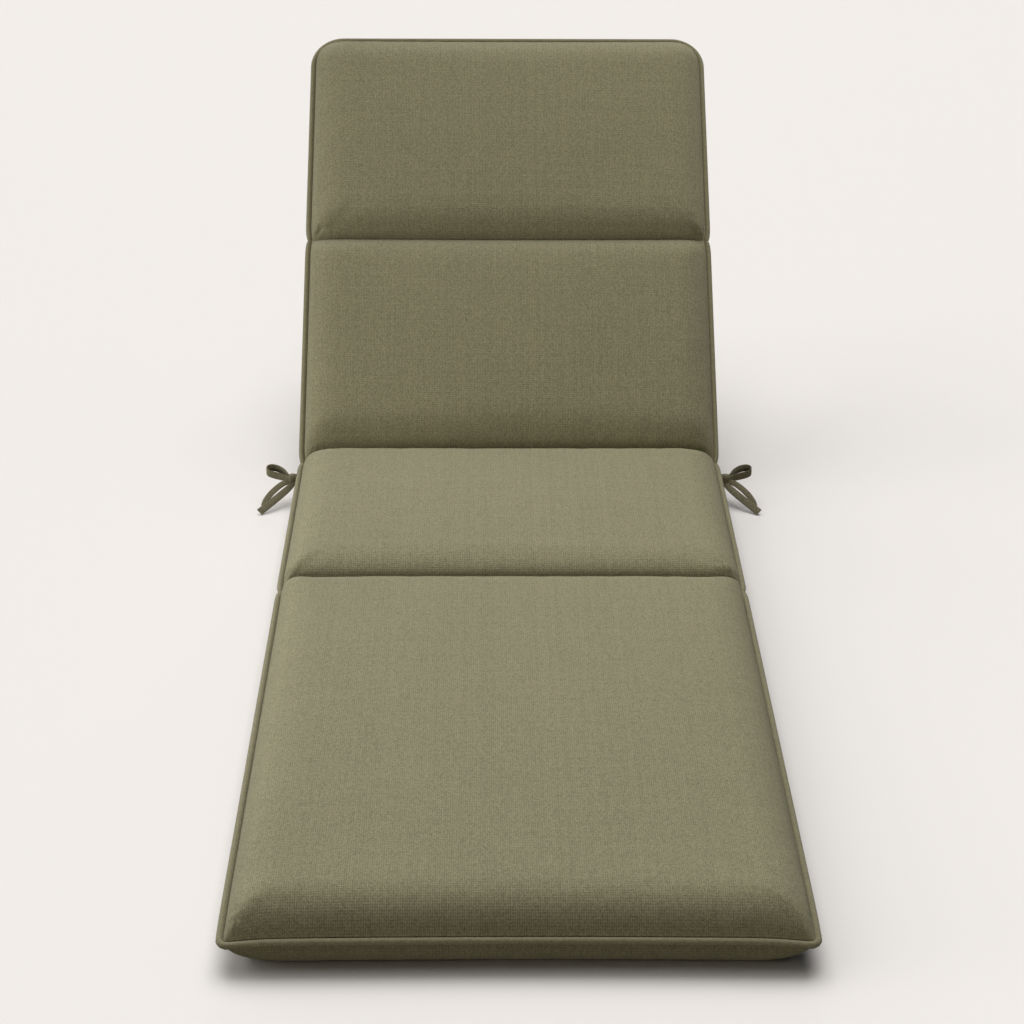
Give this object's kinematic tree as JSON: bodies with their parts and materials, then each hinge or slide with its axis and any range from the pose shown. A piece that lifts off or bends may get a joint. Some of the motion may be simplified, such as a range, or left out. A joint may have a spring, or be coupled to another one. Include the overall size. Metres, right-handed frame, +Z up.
{
  "type": "sun lounger cushion",
  "caption": "Long channelled lounger cushion with a raised back, piped edge and side ties in bows.",
  "frame": {"origin": "middle of the whole outline, on the floor under the leg and seat panels", "axes": "+Y from the foot end to the raised head end, +Z up, +X to the right of someone who stands at the foot and faces the head"},
  "size_m": [0.7048, 1.7322, 0.5264],
  "materials": {
    "cover_cloth": "olive green plain weave outdoor cloth, matt",
    "trim_cloth": "the same olive green cloth on piping and ties, matt"
  },
  "bodies": {
    "root": {"cushion": "cover_cloth", "piping": "trim_cloth", "tie_left": "trim_cloth", "tie_right": "trim_cloth"}
  },
  "joints": []
}
